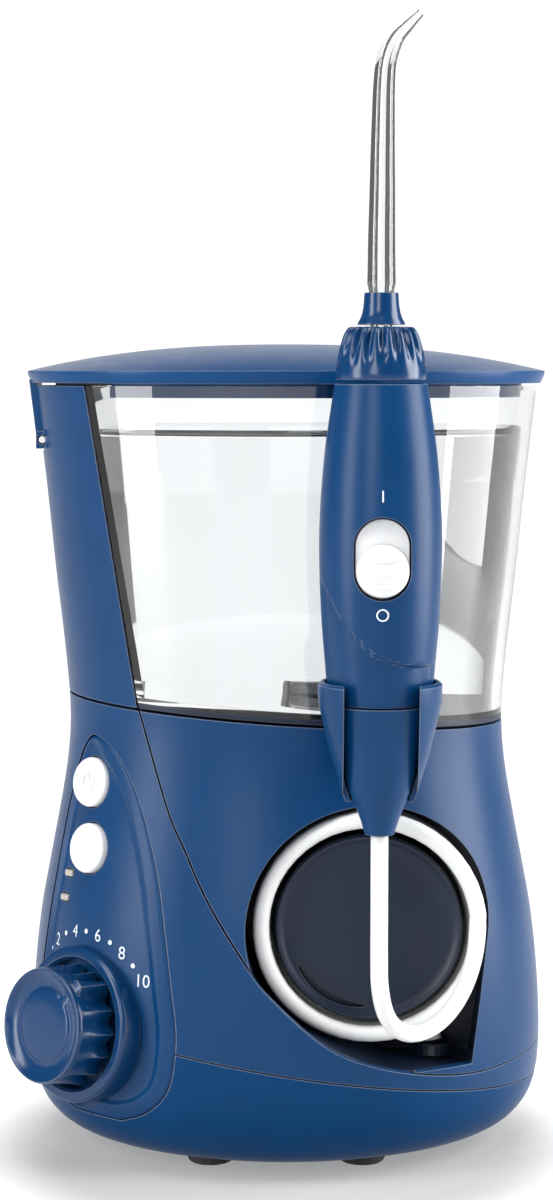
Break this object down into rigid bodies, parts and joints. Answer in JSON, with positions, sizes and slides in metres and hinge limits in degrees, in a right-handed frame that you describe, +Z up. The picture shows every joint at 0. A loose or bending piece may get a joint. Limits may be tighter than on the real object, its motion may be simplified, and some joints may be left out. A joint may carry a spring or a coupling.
{
  "type": "water flosser",
  "caption": "Countertop water flosser: navy base with control panel and hose bay, clear lift-off reservoir with hinged lid, and a corded handle in its cradle.",
  "frame": {"origin": "middle of the footprint at the table, under the bounding box without the hose", "axes": "+Z up, -Y out of the front where the handle stands, +X to the right as the front is faced"},
  "size_m": [0.1218, 0.1209, 0.2504],
  "materials": {
    "navy": "satin",
    "navy_gloss": "glossy",
    "dark_navy": "satin",
    "lid_blue": "satin",
    "clear": "clear, glossy",
    "white": "glossy",
    "hose_white": "smooth, soft sheen",
    "lamp_grey": "translucent, glossy",
    "rubber": "matte",
    "steel": "brushed",
    "inner_grey": "matte",
    "board_green": "matte",
    "brass": "machined"
  },
  "bodies": {
    "base": {"base_deck": "dark_navy", "base_tub": "navy", "case_screw_1": "steel", "case_screw_2": "steel", "case_screw_3": "steel", "case_screw_4": "steel", "circuit_board": "board_green", "control_panel": "navy", "cord_gland": "rubber", "feed_tube": "rubber", "foot_1": "rubber", "foot_2": "rubber", "foot_3": "rubber", "foot_4": "rubber", "front_housing": "navy", "hose_bay": "dark_navy", "hose_coil": "hose_white", "hose_drop": "hose_white", "hose_gland": "dark_navy", "hose_lead": "hose_white", "hose_spool": "dark_navy", "indicator_floss": "lamp_grey", "indicator_massage": "lamp_grey", "inlet_tube": "rubber", "knob_collar": "navy_gloss", "left_housing": "navy", "motor": "steel", "outlet_seal": "rubber", "pressure_tube": "rubber", "pressure_valve": "inner_grey", "pump_body": "inner_grey", "pump_frame": "inner_grey"},
    "pressure_knob_body": {"pressure_knob": "navy_gloss"},
    "power_button_body": {"power_button": "white"},
    "mode_button_body": {"mode_button": "white"},
    "reservoir_body": {"reservoir": "clear", "side_column": "navy", "hinge_pin": "steel", "outlet_valve": "white"},
    "lid_body": {"lid": "lid_blue", "tip_tray": "lid_blue"},
    "handle_body": {"handle_barrel": "navy", "handle_cone": "navy", "handle_valve": "inner_grey", "handle_tube": "rubber", "switch_plate": "white"},
    "switch_body": {"slide_switch": "white"},
    "tip_knob_body": {"tip_knob": "navy_gloss"},
    "nozzle_body": {"nozzle": "clear", "nozzle_collar": "navy_gloss"},
    "pinion_body": {"motor_pinion": "brass"},
    "crank_body": {"crank_gear": "white"},
    "piston_body": {"pump_piston": "white"}
  },
  "joints": [
    {"name": "reservoir_lift", "type": "slide", "parent": "base", "child": "reservoir_body", "axis": [0, 0, 1], "range_m": [0, 0.04]},
    {"name": "lid_hinge", "type": "hinge", "parent": "reservoir_body", "child": "lid_body", "pos_m": [-0.05314, 0.01275, 0.1615], "axis": [0, -1, 0], "range_deg": [0, 100]},
    {"name": "handle_lift", "type": "slide", "parent": "base", "child": "handle_body", "axis": [0, 0, 1], "range_m": [0, 0.045], "deforming": ["hose_drop"]},
    {"name": "switch_slide", "type": "slide", "parent": "handle_body", "child": "switch_body", "axis": [0, 0, 1], "range_m": [0, 0.005]},
    {"name": "tip_knob_turn", "type": "hinge", "parent": "handle_body", "child": "tip_knob_body", "pos_m": [0.02125, -0.04645, 0.18], "axis": [0, 0, 1], "continuous": true},
    {"name": "nozzle_pull", "type": "slide", "parent": "tip_knob_body", "child": "nozzle_body", "axis": [0, 0, 1], "range_m": [0, 0.02]},
    {"name": "pressure_knob_turn", "type": "hinge", "parent": "base", "child": "pressure_knob_body", "pos_m": [-0.04368, -0.01582, 0.032], "axis": [-0.7002, -0.7002, 0.1392], "range_deg": [-12, 95]},
    {"name": "power_button_press", "type": "slide", "parent": "base", "child": "power_button_body", "axis": [0.6964, 0.6964, -0.1736], "range_m": [0, 0.0015], "stiffness_N_per_m": 400},
    {"name": "mode_button_press", "type": "slide", "parent": "base", "child": "mode_button_body", "axis": [0.6964, 0.6964, -0.1736], "range_m": [0, 0.0015], "stiffness_N_per_m": 400},
    {"name": "crank_turn", "type": "hinge", "parent": "base", "child": "crank_body", "pos_m": [-0.00154, 0.02475, 0.0441], "axis": [1, 0, 0], "continuous": true},
    {"name": "pinion_turn", "type": "hinge", "parent": "base", "child": "pinion_body", "pos_m": [-0.00154, 0.02475, 0.0255], "axis": [1, 0, 0], "continuous": true},
    {"name": "piston_stroke", "type": "slide", "parent": "base", "child": "piston_body", "axis": [0, 0, 1], "range_m": [0, 0.008]}
  ],
  "couplings": [
    {"joint": "pinion_turn", "follows": "crank_turn", "ratio": -3.5}
  ]
}
